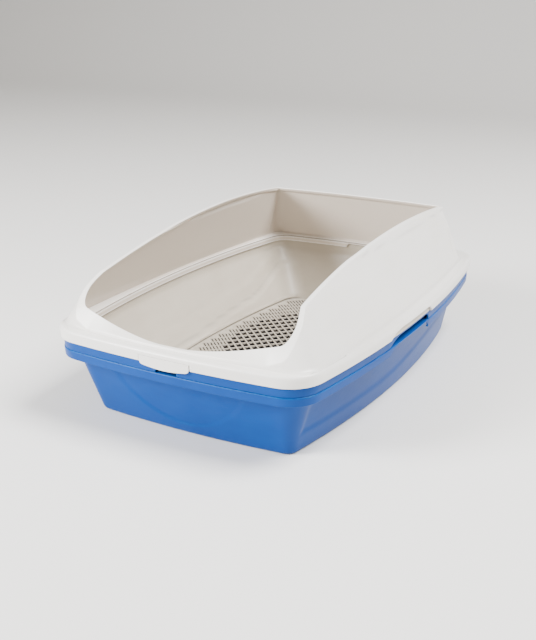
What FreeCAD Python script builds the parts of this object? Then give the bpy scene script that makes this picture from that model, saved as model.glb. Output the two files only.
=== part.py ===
"""Sifting cat litter box with a high-back frame.

Two nested pans, a sifting tray and an open high-back frame with a snap tab at each end.
Front is -Y, the width runs along X, and the box stands on Z = 0 under the origin.
"""
import FreeCAD
import Part
import Sketcher

import math
import os

V = FreeCAD.Vector

# ---- driving dimensions, mm -------------------------------------------------------------------
DIMENSIONS = {
    # plan of the rim: the frame's skirt, which is the widest outline of the box
    "rim_half_width": 174.7,
    "rim_half_length": 266.5,
    "rim_side_bow": 22.9,
    "rim_end_bow": 8.3,
    "rim_corner": 40.0,
    "rim_side_shift": 20.0,      # the sides are widest this far in front of the middle
    # plan of the pan's floor
    "floor_half_width": 141.2,
    "floor_half_length": 225.1,
    "floor_side_bow": 19.8,
    "floor_end_bow": 6.2,
    "floor_corner": 13.0,
    # pan
    "pan_skirt_foot": 71.1,
    "pan_skirt_height": 9.9,
    "pan_wall": 1.6,
    "pan_rim_inset": 3.3,
    "pan_collar_inset": 17.0,
    "pan_collar_corner": 25.0,
    "pan_throat_inset": 14.3,
    "pan_mouth_side_inset": 16.3,
    "pan_mouth_end_inset": 15.2,
    "pan_floor_side_inset": 1.23,
    "pan_floor_end_inset": 1.05,
    "nest_pitch": 10.2,
    # finger arch of the handles, in the middle of each long side
    "handle_length": 116.0,
    "handle_centre": -22.0,
    "handle_root": 163.0,
    "handle_corner": 6.5,
    # sifting tray
    "tray_skirt_foot": 91.5,
    "tray_top": 102.2,
    "tray_wall": 1.6,
    "tray_rim_inset": 3.4,
    "tray_mouth_inset": 17.4,
    "tray_knee_inset": 18.4,
    "tray_knee_height": 86.0,
    "tray_floor_height": 18.0,
    "tray_floor_half_width": 112.0,
    "tray_floor_half_length": 196.0,
    "tray_floor_side_bow": 14.0,
    "tray_floor_end_bow": 6.0,
    "tray_floor_corner": 30.0,
    # sieve slots in the tray's floor, laid out at 45 degrees
    "slot_pitch": 8.6,
    "slot_row_pitch": 13.4,
    "slot_rib": 2.2,
    "slot_overcut": 1.0,         # how far each slot's cutter runs past the floor
    "sieve_margin": 7.0,
    "sieve_corner_cut": 48.0,    # slots stop short of the floor's corners by this much
    # the tray's mouth and the frame's lip stop short of the rim at the rear
    "rear_step": 21.0,
    "mouth_side_bow": 21.0,
    # frame
    "frame_skirt_foot": 91.5,
    "frame_top": 104.7,
    "frame_wall": 2.2,
    "lip_foot": 96.5,
    "lip_inset": 20.4,
    "lip_wall": 1.6,
    "lip_corner": 23.0,
    "notch_half_width": 26.0,    # gap in the lip behind the rear tab
    "notch_top": 102.0,
    "notch_reach": 255.0,
    # hood wall: its outline on the flange, and the outline it leans towards
    "hood_half_width": 160.0,
    "hood_half_length": 243.8,
    "hood_side_bow": 12.0,
    "hood_end_bow": 9.0,
    "hood_side_shift": 60.0,
    "hood_ahead": 12.2,
    "hood_corner": 30.0,
    "hood_rear_corner": 14.0,
    "head_height": 190.0,
    "head_half_width": 124.5,
    "head_half_length": 213.45,
    "head_side_bow": 8.45,
    "head_end_bow": 9.7,
    "head_side_shift": -90.0,    # the leaning wall is widest towards the rear at its top
    "head_ahead": 16.15,
    "head_corner": 22.0,
    "head_rear_corner": 8.0,
    "hood_wall": 2.6,
    "hood_knee_height": 108.0,   # where the inner face turns towards the lip
    # side profile of the hood's top edge
    "entry_height": 107.6,
    "entry_reach": 250.0,
    "sweep_height": 137.65,
    "sweep_reach": 227.0,
    "shoulder_height": 155.3,
    "shoulder_reach": 204.0,
    "crest_height": 186.7,
    "crest_position": 60.3,
    "crest_radius": 1174.0,
    # arch in the frame's skirt over each handle
    "arch_rise": 8.4,
    # snap tabs in the middle of the frame's ends
    "tab_half_width": 30.6,
    "tab_slit": 0.9,
    "tab_top": 101.5,
    "tab_foot": 88.9,
    "tab_belly": 2.9,
    "tab_wall": 2.2,
    "barb_half_width": 10.0,
    "barb_depth": 0.5,
    "barb_height": 1.6,
    "tab_recess": 0.2,           # the tab's face lies this far behind the skirt's
    "gate_gap": 1.0,             # opening above the tab's root
    "window_half_width": 11.0,
    "window_depth": 12.6,        # from the rim's outline in to where each window starts
}

CLEAR = 30.0         # how far a cutting profile runs past the piece it trims
OVERLAP = 1.0        # how far a cutting profile starts below a skirt's foot
SMALLEST_CUT = 1.0   # mm3 that a cut has to take away


class Dim:
    """A dimension that knows both its number and the expression that gives it in the document."""

    def __init__(self, value, text):
        self.value = value
        self.text = text

    def __add__(self, other):
        return Dim(self.value + other.value, f"({self.text} + {other.text})")

    def __sub__(self, other):
        return Dim(self.value - other.value, f"({self.text} - {other.text})")

    def __mul__(self, number):
        return Dim(self.value * number, f"({self.text} * {number})")


doc = FreeCAD.newDocument("litter_box")
sheet = doc.addObject("Spreadsheet::Sheet", "Sizes")
for row, (alias, number) in enumerate(DIMENSIONS.items(), start=1):
    sheet.set(f"A{row}", alias)
    sheet.set(f"B{row}", str(number))
    sheet.setAlias(f"B{row}", alias)
doc.recompute()

size = {alias: Dim(number, f"Sizes.{alias}") for alias, number in DIMENSIONS.items()}


class Plan:
    """A rounded oblong with four bowed sides: the outline that every shell here follows."""

    def __init__(self, half_width, half_length, side_bow, end_bow, corner, side_shift=None,
                 rear_corner=None, ahead=None):
        self.half_width = half_width
        self.half_length = half_length
        self.side_bow = side_bow
        self.end_bow = end_bow
        self.corner = corner
        self.side_shift = side_shift
        self.rear_corner = rear_corner or corner
        self.ahead = ahead

    def inset(self, side, end=None, corner=None, rear_corner=None):
        """The same outline moved inwards by side (and by end at the front and back)."""
        end = end or side
        corner = corner or self.corner
        return Plan(self.half_width - side, self.half_length - end, self.side_bow, self.end_bow,
                    corner, self.side_shift, rear_corner or corner, self.ahead)

    def shortened(self, step, side_bow):
        """The same outline with its rear end moved forwards by step."""
        half = step * 0.5
        return Plan(self.half_width, self.half_length - half, side_bow, self.end_bow,
                    self.corner, self.side_shift - half, self.rear_corner, half)

    def towards(self, other, share):
        """The outline that lies a share of the way from this one to another."""
        def blend(role):
            return getattr(self, role) * (1 - share) + getattr(other, role) * share
        return Plan(blend("half_width"), blend("half_length"), blend("side_bow"), blend("end_bow"),
                    blend("corner"), blend("side_shift"), blend("rear_corner"), blend("ahead"))

    def lead(self):
        """How far the widest place of the sides lies in front of the middle, or None."""
        if self.side_shift and self.ahead:
            return self.side_shift + self.ahead
        return self.side_shift or self.ahead


def bow_radius(half_chord, bow):
    """Radius of the arc that rises by bow over a chord, as a Dim."""
    value = (half_chord.value ** 2 + bow.value ** 2) / (2 * bow.value)
    text = f"((({half_chord.text})^2 + ({bow.text})^2) / (2 * {bow.text}))"
    return Dim(value, text)


def corner_centre(side_centre, side_reach, end_centre, end_reach, sign_y):
    """Centre of the corner circle that lies inside both bowed sides, on the +X side."""
    gap = end_centre - side_centre
    spacing = gap.Length
    along = (side_reach ** 2 - end_reach ** 2 + spacing ** 2) / (2 * spacing)
    across = math.sqrt(side_reach ** 2 - along ** 2)
    unit = gap / spacing
    normal = V(-unit.y, unit.x, 0)
    candidates = [side_centre + unit * along + normal * (across * turn) for turn in (1, -1)]
    return max(candidates, key=lambda point: point.x + sign_y * point.y)


def angle_from(centre, point):
    return math.atan2(point.y - centre.y, point.x - centre.x)


def draw_plan(sketch, plan):
    """Add a Plan to a sketch: eight tangent arcs, counter-clockwise from the +X side."""
    chord = plan.half_length - plan.end_bow
    width = plan.half_width - plan.side_bow
    side_radius = bow_radius(chord, plan.side_bow)
    end_radius = bow_radius(width, plan.end_bow)
    lead = plan.lead()
    ahead = plan.ahead.value if plan.ahead else 0.0
    corner = plan.corner.value
    rear_corner = plan.rear_corner.value

    east = V(plan.half_width.value - side_radius.value, -lead.value if lead else 0.0, 0)
    west = V(-east.x, east.y, 0)
    north = V(0, plan.half_length.value - end_radius.value - ahead, 0)
    south = V(0, end_radius.value - plan.half_length.value - ahead, 0)
    north_east = corner_centre(east, side_radius.value - rear_corner,
                               north, end_radius.value - rear_corner, 1)
    south_east = corner_centre(east, side_radius.value - corner,
                               south, end_radius.value - corner, -1)
    north_west = V(-north_east.x, north_east.y, 0)
    south_west = V(-south_east.x, south_east.y, 0)

    half_turn = math.pi
    rear_east = angle_from(east, north_east)
    front_east = angle_from(east, south_east)
    rear_end = angle_from(north, north_east)
    front_end = angle_from(south, south_east)
    arcs = [
        (east, side_radius.value, front_east, rear_east),
        (north_east, rear_corner, rear_east, rear_end),
        (north, end_radius.value, rear_end, half_turn - rear_end),
        (north_west, rear_corner, half_turn - rear_end, half_turn - rear_east),
        (west, side_radius.value, half_turn - rear_east, half_turn - front_east),
        (south_west, corner, half_turn - front_east, half_turn - front_end),
        (south, end_radius.value, -half_turn - front_end, front_end),
        (south_east, corner, front_end, front_east),
    ]
    first = sketch.GeometryCount
    sketch.addGeometry([Part.ArcOfCircle(Part.Circle(centre, V(0, 0, 1), radius), start, stop)
                        for centre, radius, start, stop in arcs], False)

    def bind(constraint, dimension):
        index = sketch.addConstraint(constraint)
        sketch.setExpression(f"Constraints[{index}]", dimension.text)

    side, end, rear_arc, front_arc = first, first + 2, first + 1, first + 5
    for step in range(8):
        sketch.addConstraint(Sketcher.Constraint("Tangent", first + step, 2, first + (step + 1) % 8, 1))
    sketch.addConstraint(Sketcher.Constraint("Symmetric", side, 3, first + 4, 3, -2))
    sketch.addConstraint(Sketcher.Constraint("PointOnObject", end, 3, -2))
    sketch.addConstraint(Sketcher.Constraint("PointOnObject", first + 6, 3, -2))
    sketch.addConstraint(Sketcher.Constraint("Equal", side, first + 4))
    sketch.addConstraint(Sketcher.Constraint("Equal", end, first + 6))
    sketch.addConstraint(Sketcher.Constraint("Equal", rear_arc, first + 3))
    sketch.addConstraint(Sketcher.Constraint("Equal", front_arc, first + 7))
    bind(Sketcher.Constraint("Radius", side, side_radius.value), side_radius)
    bind(Sketcher.Constraint("Radius", end, end_radius.value), end_radius)
    bind(Sketcher.Constraint("Radius", rear_arc, rear_corner), plan.rear_corner)
    bind(Sketcher.Constraint("Radius", front_arc, corner), plan.corner)
    side_depth = side_radius - plan.half_width
    end_depth = end_radius - plan.half_length
    rear_depth = end_depth + plan.ahead if plan.ahead else end_depth
    front_depth = end_depth - plan.ahead if plan.ahead else end_depth
    bind(Sketcher.Constraint("DistanceX", side, 3, -1, 1, side_depth.value), side_depth)
    bind(Sketcher.Constraint("DistanceY", end, 3, -1, 1, rear_depth.value), rear_depth)
    bind(Sketcher.Constraint("DistanceY", -1, 1, first + 6, 3, front_depth.value), front_depth)
    if lead and lead.value > 0:
        bind(Sketcher.Constraint("DistanceY", side, 3, -1, 1, lead.value), lead)
    elif lead:
        bind(Sketcher.Constraint("DistanceY", -1, 1, side, 3, -lead.value), lead * -1)
    else:
        sketch.addConstraint(Sketcher.Constraint("PointOnObject", side, 3, -1))


def origin_plane(body, role):
    return next(item for item in body.Origin.OriginFeatures if item.Role == role)


def new_sketch(body, name, role, offset=None):
    """A sketch on one of the body's origin planes, moved out along its normal by offset."""
    sketch = body.newObject("Sketcher::SketchObject", f"{body.Name}_{name}")
    sketch.AttachmentSupport = [(origin_plane(body, role), "")]
    sketch.MapMode = "FlatFace"
    if offset:
        sketch.setExpression("AttachmentOffset.Base.z", offset.text)
    return sketch


def level(body, name, height, *plans):
    """A horizontal sketch at a height, holding one plan or a ring of two."""
    sketch = new_sketch(body, name, "XY_Plane", height)
    for plan in plans:
        draw_plan(sketch, plan)
    return sketch


def loft(body, kind, name, bottom, top):
    """Ruled loft between two levels, added or taken away."""
    feature = body.newObject(f"PartDesign::{kind}Loft", f"{body.Name}_{name}")
    feature.Profile = bottom
    feature.Sections = [top]
    feature.Ruled = True
    body.Tip = feature
    return feature


def extrude(body, kind, name, sketch, length, reverse=False):
    """Pad or Pocket of a sketch by a bound length."""
    feature = body.newObject(f"PartDesign::{kind}", f"{body.Name}_{name}")
    feature.Profile = sketch
    feature.setExpression("Length", length.text)
    feature.Reversed = reverse
    body.Tip = feature
    return feature


def cut_checked(body, feature, before):
    """Recompute and make sure that a cut has really taken material away."""
    doc.recompute()
    after = body.Shape.Volume
    if not after < before - SMALLEST_CUT:
        raise RuntimeError(f"{feature.Name} cut nothing ({before:.0f} to {after:.0f} mm3)")
    return after


def mirror(body, name, feature, role):
    """Repeat a feature on the other side of an origin plane."""
    copy = body.newObject("PartDesign::Mirrored", f"{body.Name}_{name}")
    copy.Originals = [feature]
    copy.MirrorPlane = (origin_plane(body, role), [""])
    body.Tip = copy
    return copy


def polyline(sketch, points):
    """Closed run of straight lines through (x, y) points."""
    corners = [V(x, y, 0) for x, y in points]
    for start, stop in zip(corners, corners[1:] + corners[:1]):
        sketch.addGeometry(Part.LineSegment(start, stop), False)


def arch_sketch(body, name, foot, rise):
    """Outline of a finger arch beside the handle root: flat foot, straight top, rounded ends."""
    sketch = new_sketch(body, name, "YZ_Plane", size["handle_root"])
    half = DIMENSIONS["handle_length"] / 2
    middle = DIMENSIONS["handle_centre"]
    reach = DIMENSIONS["handle_corner"]
    left, right = middle - half, middle + half
    base, crown = foot - OVERLAP, foot + rise
    bend = reach * (1 - math.sqrt(0.5))
    sketch.addGeometry(Part.LineSegment(V(left, base, 0), V(right, base, 0)), False)
    sketch.addGeometry(Part.LineSegment(V(right, base, 0), V(right, crown - reach, 0)), False)
    sketch.addGeometry(Part.Arc(V(right, crown - reach, 0), V(right - bend, crown - bend, 0),
                                V(right - reach, crown, 0)), False)
    sketch.addGeometry(Part.LineSegment(V(right - reach, crown, 0), V(left + reach, crown, 0)), False)
    sketch.addGeometry(Part.Arc(V(left + reach, crown, 0), V(left + bend, crown - bend, 0),
                                V(left, crown - reach, 0)), False)
    sketch.addGeometry(Part.LineSegment(V(left, crown - reach, 0), V(left, base, 0)), False)
    return sketch


RIM = Plan(size["rim_half_width"], size["rim_half_length"], size["rim_side_bow"],
           size["rim_end_bow"], size["rim_corner"], size["rim_side_shift"])
MOUTH = RIM.shortened(size["rear_step"], size["mouth_side_bow"])
FLOOR = Plan(size["floor_half_width"], size["floor_half_length"], size["floor_side_bow"],
             size["floor_end_bow"], size["floor_corner"])


def make_pan(name, lift, with_windows):
    """One tub with its inverted-channel rim; the two pans are mouldings of one shape."""
    body = doc.addObject("PartDesign::Body", name)
    body.Label = name
    wall = size["pan_wall"]
    foot = size["pan_skirt_foot"]
    height = size["pan_skirt_height"]
    top = foot + height

    collar = RIM.inset(size["pan_collar_inset"], corner=size["pan_collar_corner"])
    edge = RIM.inset(size["pan_rim_inset"], corner=size["rim_corner"] - size["pan_rim_inset"])
    mouth = RIM.inset(size["pan_mouth_side_inset"], size["pan_mouth_end_inset"], size["pan_collar_corner"])
    inner_floor = FLOOR.inset(size["pan_floor_side_inset"], size["pan_floor_end_inset"],
                              size["floor_corner"] - wall)
    loft(body, "Additive", "tub",
         level(body, "base", None, FLOOR), level(body, "collar", foot, collar))
    extrude(body, "Pad", "rim", level(body, "edge", foot, edge), height)
    doc.recompute()
    volume = body.Shape.Volume

    hollow = loft(body, "Subtractive", "hollow",
                  level(body, "inner_floor", wall, inner_floor), level(body, "mouth", top, mouth))
    volume = cut_checked(body, hollow, volume)
    inner_edge = RIM.inset(size["pan_rim_inset"] + wall,
                           corner=size["rim_corner"] - size["pan_rim_inset"] - wall)
    throat = RIM.inset(size["pan_throat_inset"], corner=size["pan_collar_corner"])
    channel = extrude(body, "Pocket", "channel", level(body, "channel_ring", foot, inner_edge, throat),
                      height - wall, reverse=True)
    volume = cut_checked(body, channel, volume)

    grip = extrude(body, "Pocket", "grip",
                   arch_sketch(body, "grip_arch", foot.value, height.value - wall.value), size["rim_corner"],
                   reverse=True)
    volume = cut_checked(body, grip, volume)
    volume = cut_checked(body, mirror(body, "grips", grip, "YZ_Plane"), volume)
    if with_windows:
        window = new_sketch(body, "window_outline", "XZ_Plane",
                            size["rim_half_length"] - size["window_depth"])
        half = DIMENSIONS["window_half_width"]
        base = foot.value - OVERLAP
        polyline(window, [(-half, base), (half, base),
                          (half, top.value - wall.value), (-half, top.value - wall.value)])
        slot = extrude(body, "Pocket", "window", window, size["rim_corner"], reverse=True)
        volume = cut_checked(body, slot, volume)
        volume = cut_checked(body, mirror(body, "windows", slot, "XZ_Plane"), volume)
    if lift:
        body.setExpression("Placement.Base.z", lift.text)
    return body


def make_tray():
    """Sifting tray: a rim channel, a steep collar, sloping walls and a slotted floor."""
    body = doc.addObject("PartDesign::Body", "tray_shell")
    body.Label = "tray_shell"
    wall = size["tray_wall"]
    foot = size["tray_skirt_foot"]
    top = size["tray_top"]
    knee_height = size["tray_knee_height"]
    base_height = size["tray_floor_height"]
    corner = size["pan_collar_corner"]

    edge = RIM.inset(size["tray_rim_inset"], corner=size["rim_corner"] - size["tray_rim_inset"])
    inner_edge = RIM.inset(size["tray_rim_inset"] + wall,
                           corner=size["rim_corner"] - size["tray_rim_inset"] - wall)
    mouth = MOUTH.inset(size["tray_mouth_inset"], corner=corner)
    knee = MOUTH.inset(size["tray_knee_inset"], corner=corner)
    floor = Plan(size["tray_floor_half_width"], size["tray_floor_half_length"],
                 size["tray_floor_side_bow"], size["tray_floor_end_bow"], size["tray_floor_corner"])

    loft(body, "Additive", "basin",
         level(body, "base", base_height, floor), level(body, "knee", knee_height, knee))
    loft(body, "Additive", "collar",
         level(body, "knee_again", knee_height, knee), level(body, "mouth", foot, mouth))
    extrude(body, "Pad", "rim", level(body, "edge", foot, edge), top - foot)
    doc.recompute()
    volume = body.Shape.Volume
    basin = loft(body, "Subtractive", "hollow",
                 level(body, "inner_base", base_height + wall, floor.inset(wall)),
                 level(body, "inner_knee", knee_height, knee.inset(wall)))
    volume = cut_checked(body, basin, volume)
    collar = loft(body, "Subtractive", "throat",
                  level(body, "throat_foot", knee_height, knee.inset(wall)),
                  level(body, "throat_top", top, mouth.inset(wall)))
    volume = cut_checked(body, collar, volume)
    channel = extrude(body, "Pocket", "channel", level(body, "channel_ring", foot, inner_edge, mouth),
                      top - foot - wall, reverse=True)
    cut_checked(body, channel, volume)

    slots = doc.addObject("Part::Feature", "sieve_slots")
    slots.Shape = sieve_slots()
    tray = doc.addObject("Part::Cut", "sifting_tray")
    tray.Label = "sifting_tray"
    tray.Base = body
    tray.Tool = slots
    return tray


def sieve_slots():
    """Compound of the oblong holes in the tray's floor, in rows at 45 degrees to its sides."""
    pitch = DIMENSIONS["slot_pitch"]
    row_pitch = DIMENSIONS["slot_row_pitch"]
    rib = DIMENSIONS["slot_rib"]
    margin = DIMENSIONS["sieve_margin"]
    bottom = DIMENSIONS["tray_floor_height"] - DIMENSIONS["slot_overcut"]
    depth = DIMENSIONS["tray_wall"] + 2 * DIMENSIONS["slot_overcut"]
    half_width = DIMENSIONS["tray_floor_half_width"] - margin
    half_length = DIMENSIONS["tray_floor_half_length"] - margin
    side_bow = DIMENSIONS["tray_floor_side_bow"]
    reach = half_length + half_width
    diagonal = math.sqrt(0.5)
    holes = []
    for row in range(-round(reach / row_pitch), round(reach / row_pitch) + 1):
        for column in range(-round(reach / pitch), round(reach / pitch) + 1):
            across, along = column * pitch, row * row_pitch
            x = (across - along) * diagonal
            y = (across + along) * diagonal
            spare = row_pitch / 2
            allowed = half_width - side_bow * (y / half_length) ** 2 - spare
            if abs(y) > half_length - spare or abs(x) > allowed:
                continue
            if abs(x) + abs(y) > half_width + half_length - DIMENSIONS["sieve_corner_cut"]:
                continue
            hole = Part.makeBox(pitch - rib, row_pitch - rib, depth,
                                V(-(pitch - rib) / 2, -(row_pitch - rib) / 2, 0))
            hole.rotate(V(0, 0, 0), V(0, 0, 1), 45)
            hole.translate(V(x, y, bottom))
            holes.append(hole)
    return Part.makeCompound(holes)


def hood_plan(part):
    """Outline of the hood wall: on the flange ("hood") or at the height it leans to ("head")."""
    return Plan(size[f"{part}_half_width"], size[f"{part}_half_length"], size[f"{part}_side_bow"],
                size[f"{part}_end_bow"], size[f"{part}_corner"], size[f"{part}_side_shift"],
                size[f"{part}_rear_corner"], size[f"{part}_ahead"])


def crest_point(y):
    """Height of the hood's long crest arc at a station along Y."""
    radius = DIMENSIONS["crest_radius"]
    drop = radius - math.sqrt(radius ** 2 - (y - DIMENSIONS["crest_position"]) ** 2)
    return V(y, DIMENSIONS["crest_height"] - drop, 0)


def trim_sketch(body):
    """Side view of everything above the hood's top edge: entry, front sweep and long crest."""
    sketch = new_sketch(body, "trim_outline", "YZ_Plane")
    entry = V(-DIMENSIONS["entry_reach"], DIMENSIONS["entry_height"], 0)
    shoulder = V(-DIMENSIONS["shoulder_reach"], DIMENSIONS["shoulder_height"], 0)
    sweep = V(-DIMENSIONS["sweep_reach"], DIMENSIONS["sweep_height"], 0)
    back = DIMENSIONS["rim_half_length"]
    high = DIMENSIONS["head_height"] + CLEAR
    front_low = V(-back - CLEAR, entry.y, 0)
    front_high = V(-back - CLEAR, high, 0)
    back_high = V(back + CLEAR, high, 0)
    back_low = V(back + CLEAR, crest_point(back).y, 0)
    end = crest_point(back)
    sketch.addGeometry(Part.LineSegment(front_low, entry), False)
    sketch.addGeometry(Part.Arc(entry, sweep, shoulder), False)
    sketch.addGeometry(Part.Arc(shoulder, crest_point(DIMENSIONS["crest_position"] / 2), end), False)
    sketch.addGeometry(Part.LineSegment(end, back_low), False)
    sketch.addGeometry(Part.LineSegment(back_low, back_high), False)
    sketch.addGeometry(Part.LineSegment(back_high, front_high), False)
    sketch.addGeometry(Part.LineSegment(front_high, front_low), False)
    return sketch


def make_frame():
    """High-back frame: outer skirt, flange, inner lip and the leaning hood wall."""
    body = doc.addObject("PartDesign::Body", "hood_frame")
    body.Label = "hood_frame"
    wall = size["frame_wall"]
    foot = size["frame_skirt_foot"]
    top = size["frame_top"]
    hood_wall = size["hood_wall"]
    corner = size["rim_corner"]

    foot_plan = hood_plan("hood")
    head_plan = hood_plan("head")
    share = ((DIMENSIONS["hood_knee_height"] - DIMENSIONS["frame_top"])
             / (DIMENSIONS["head_height"] - DIMENSIONS["frame_top"]))
    knee_plan = foot_plan.towards(head_plan, share)
    knee_bore = knee_plan.inset(hood_wall, corner=knee_plan.corner - hood_wall,
                                rear_corner=knee_plan.rear_corner - hood_wall)
    head_bore = head_plan.inset(hood_wall, corner=head_plan.corner - hood_wall,
                                rear_corner=head_plan.rear_corner - hood_wall)
    lip = MOUTH.inset(size["lip_inset"], corner=size["lip_corner"])
    lip_bore = lip.inset(size["lip_wall"], corner=size["lip_corner"] - size["lip_wall"])

    extrude(body, "Pad", "flange", level(body, "edge", foot, RIM), top - foot)
    loft(body, "Additive", "hood", level(body, "hood_foot", top, foot_plan),
         level(body, "hood_head", size["head_height"], head_plan))
    doc.recompute()
    volume = body.Shape.Volume
    knee_height = size["hood_knee_height"]
    hollow = loft(body, "Subtractive", "hood_hollow",
                  level(body, "bore_knee", knee_height, knee_bore),
                  level(body, "bore_head", size["head_height"], head_bore))
    volume = cut_checked(body, hollow, volume)
    throat = loft(body, "Subtractive", "throat", level(body, "throat_foot", top, lip_bore),
                  level(body, "throat_knee", knee_height, knee_bore))
    volume = cut_checked(body, throat, volume)
    opening = extrude(body, "Pocket", "opening", level(body, "opening_plan", foot, lip_bore),
                      top - foot, reverse=True)
    volume = cut_checked(body, opening, volume)
    channel = extrude(body, "Pocket", "channel",
                      level(body, "channel_ring", foot, RIM.inset(wall, corner=corner - wall), lip),
                      top - foot - wall, reverse=True)
    volume = cut_checked(body, channel, volume)
    below_lip = extrude(body, "Pocket", "lip_trim", level(body, "lip_trim_plan", foot, lip),
                        size["lip_foot"] - foot, reverse=True)
    volume = cut_checked(body, below_lip, volume)

    notch = new_sketch(body, "notch_outline", "XZ_Plane")
    half = DIMENSIONS["notch_half_width"]
    below = foot.value - CLEAR
    polyline(notch, [(-half, below), (half, below),
                     (half, DIMENSIONS["notch_top"]), (-half, DIMENSIONS["notch_top"])])
    gap = extrude(body, "Pocket", "notch", notch, size["notch_reach"])
    volume = cut_checked(body, gap, volume)

    trim = extrude(body, "Pocket", "trim", trim_sketch(body), size["rim_half_length"] * 2)
    trim.SideType = "Symmetric"
    volume = cut_checked(body, trim, volume)

    arch = extrude(body, "Pocket", "arch",
                   arch_sketch(body, "arch_outline", foot.value, size["arch_rise"].value), corner, reverse=True)
    volume = cut_checked(body, arch, volume)
    volume = cut_checked(body, mirror(body, "arches", arch, "YZ_Plane"), volume)

    gate = new_sketch(body, "tab_gate", "XZ_Plane", size["rim_half_length"] - wall * 2)
    half = DIMENSIONS["tab_half_width"] + DIMENSIONS["tab_slit"]
    crown = DIMENSIONS["tab_top"] + DIMENSIONS["gate_gap"]
    polyline(gate, [(-half, below), (half, below), (half, crown), (-half, crown)])
    slot = extrude(body, "Pocket", "gate", gate, wall * 3, reverse=True)
    volume = cut_checked(body, slot, volume)
    cut_checked(body, mirror(body, "gates", slot, "XZ_Plane"), volume)
    return body


def make_tab(name, at_rear):
    """Snap tab: a bowed-foot plate with a small barb on its inner face."""
    body = doc.addObject("PartDesign::Body", name)
    body.Label = name
    half = DIMENSIONS["tab_half_width"]
    top = DIMENSIONS["tab_top"]
    foot = DIMENSIONS["tab_foot"]
    belly = DIMENSIONS["tab_belly"]
    back_face = size["rim_half_length"] - size["tab_wall"] - size["tab_recess"]
    plate = new_sketch(body, "outline", "XZ_Plane", back_face)
    plate.addGeometry(Part.LineSegment(V(half, foot, 0), V(half, top, 0)), False)
    plate.addGeometry(Part.LineSegment(V(half, top, 0), V(-half, top, 0)), False)
    plate.addGeometry(Part.LineSegment(V(-half, top, 0), V(-half, foot, 0)), False)
    plate.addGeometry(Part.Arc(V(-half, foot, 0), V(0, foot - belly, 0), V(half, foot, 0)), False)
    extrude(body, "Pad", "plate", plate, size["tab_wall"])
    barb = new_sketch(body, "barb_outline", "XZ_Plane", back_face)
    reach = DIMENSIONS["barb_half_width"]
    polyline(barb, [(-reach, foot), (reach, foot), (reach, foot + DIMENSIONS["barb_height"]),
                    (-reach, foot + DIMENSIONS["barb_height"])])
    extrude(body, "Pad", "barb", barb, size["barb_depth"], reverse=True)
    if at_rear:
        body.Placement = FreeCAD.Placement(V(0, 0, 0), FreeCAD.Rotation(V(0, 0, 1), 180))
    return body


pieces = [
    make_pan("lower_pan", None, False),
    make_pan("upper_pan", size["nest_pitch"], True),
    make_tray(),
    make_frame(),
    make_tab("front_tab", False),
    make_tab("rear_tab", True),
]
doc.recompute()

for item in doc.Objects:
    if "Invalid" in item.State or "Error" in item.State:
        raise RuntimeError(f"{item.Name} failed: {item.State}")
for piece in pieces:
    if piece.Shape.isNull() or not piece.Shape.isValid():
        raise RuntimeError(f"{piece.Label} has no valid shape")

os.makedirs("parts", exist_ok=True)
for piece in pieces:
    piece.Shape.exportStep(f"parts/{piece.Label}.step")
    box = piece.Shape.BoundBox
    print(f"{piece.Label}: {piece.Shape.Volume / 1000:.1f} cm3, solids {len(piece.Shape.Solids)}, "
          f"x {box.XMin:.1f}..{box.XMax:.1f} y {box.YMin:.1f}..{box.YMax:.1f} z {box.ZMin:.1f}..{box.ZMax:.1f}")
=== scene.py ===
"""Sifting cat litter box: two nested pans, a sieve tray and a high-back frame with snap tabs.

Every shell is a wall swept round bowed, rounded outlines. Sizes are in millimetres in the
classes below and become metres when a ring of the mesh is placed.
"""

import logging
import math
from dataclasses import dataclass, replace
from enum import Enum
from typing import Any, Callable, Optional, Sequence

import bmesh
import bpy
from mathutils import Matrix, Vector


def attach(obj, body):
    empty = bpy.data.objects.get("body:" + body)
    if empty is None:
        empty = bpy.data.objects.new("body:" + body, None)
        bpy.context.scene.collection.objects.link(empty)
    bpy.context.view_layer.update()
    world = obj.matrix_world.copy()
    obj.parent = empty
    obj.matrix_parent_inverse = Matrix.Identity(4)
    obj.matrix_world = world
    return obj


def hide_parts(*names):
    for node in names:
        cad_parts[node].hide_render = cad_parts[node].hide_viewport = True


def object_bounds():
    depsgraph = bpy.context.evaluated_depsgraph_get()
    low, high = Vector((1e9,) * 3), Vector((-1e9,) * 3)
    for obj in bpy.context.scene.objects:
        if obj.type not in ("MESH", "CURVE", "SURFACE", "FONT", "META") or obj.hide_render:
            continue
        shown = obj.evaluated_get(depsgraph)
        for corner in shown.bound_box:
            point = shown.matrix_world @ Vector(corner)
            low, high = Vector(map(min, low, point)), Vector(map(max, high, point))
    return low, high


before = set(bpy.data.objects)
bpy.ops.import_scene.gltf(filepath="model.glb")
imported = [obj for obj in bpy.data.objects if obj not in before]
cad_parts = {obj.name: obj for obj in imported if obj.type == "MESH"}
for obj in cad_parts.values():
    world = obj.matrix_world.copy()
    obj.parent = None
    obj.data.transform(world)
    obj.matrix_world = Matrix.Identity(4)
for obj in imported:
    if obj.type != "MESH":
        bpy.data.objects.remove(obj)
CAD_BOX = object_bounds()

LOG = logging.getLogger("litter_box")
MM = 0.001
SMOOTH_LIMIT = math.radians(38.0)

Material = bpy.types.Material
Mesh = bmesh.types.BMesh
Vert = bmesh.types.BMVert
Ring = list[Vector]
Height = float | Callable[[float, float], float]
Triple = tuple[float, float, float]
Colour = tuple[float, float, float, float]


class End(Enum):
    """Which end of the box a piece stands at."""

    FRONT = -1
    REAR = 1


# ---- outlines ----

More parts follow.
